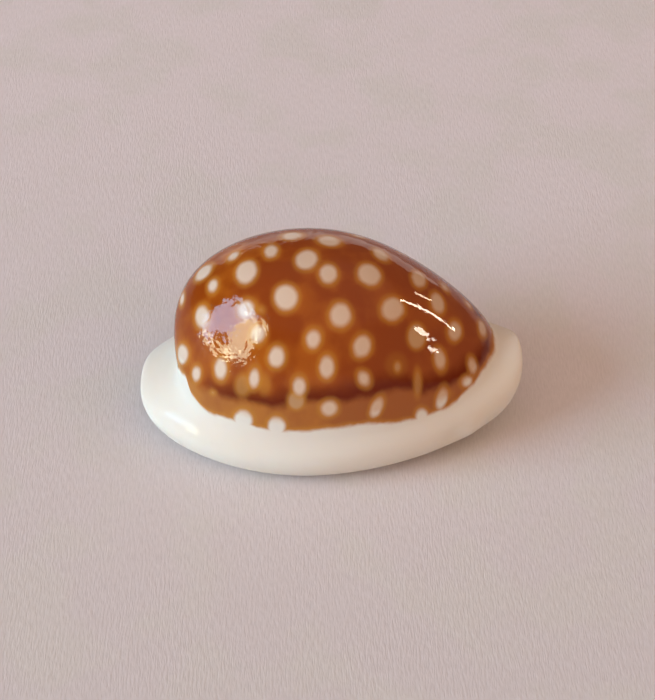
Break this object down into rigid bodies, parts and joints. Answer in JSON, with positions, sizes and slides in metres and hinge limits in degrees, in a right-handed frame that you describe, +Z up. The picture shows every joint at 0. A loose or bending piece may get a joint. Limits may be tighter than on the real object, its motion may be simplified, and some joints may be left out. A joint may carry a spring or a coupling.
{
  "type": "cowrie shell",
  "caption": "Glossy cowrie shell: spotted brown dome over a thick white base, hollow, with a long toothed mouth underneath and a canal at each end.",
  "frame": {"origin": "centre of the bounding box's base, on the plane that the shell rests on", "axes": "+X along the shell to its front end (siphon canal), -Y to the outer lip's side, +Y to the columella's side, +Z up through the dome"},
  "size_m": [0.026, 0.0162, 0.0134],
  "materials": {
    "shell_enamel": "natural glossy enamel of the shell, amber brown with white spots over the dome, ivory white on the margin and base"
  },
  "bodies": {
    "root": {"cowrie_shell": "shell_enamel"}
  },
  "joints": []
}
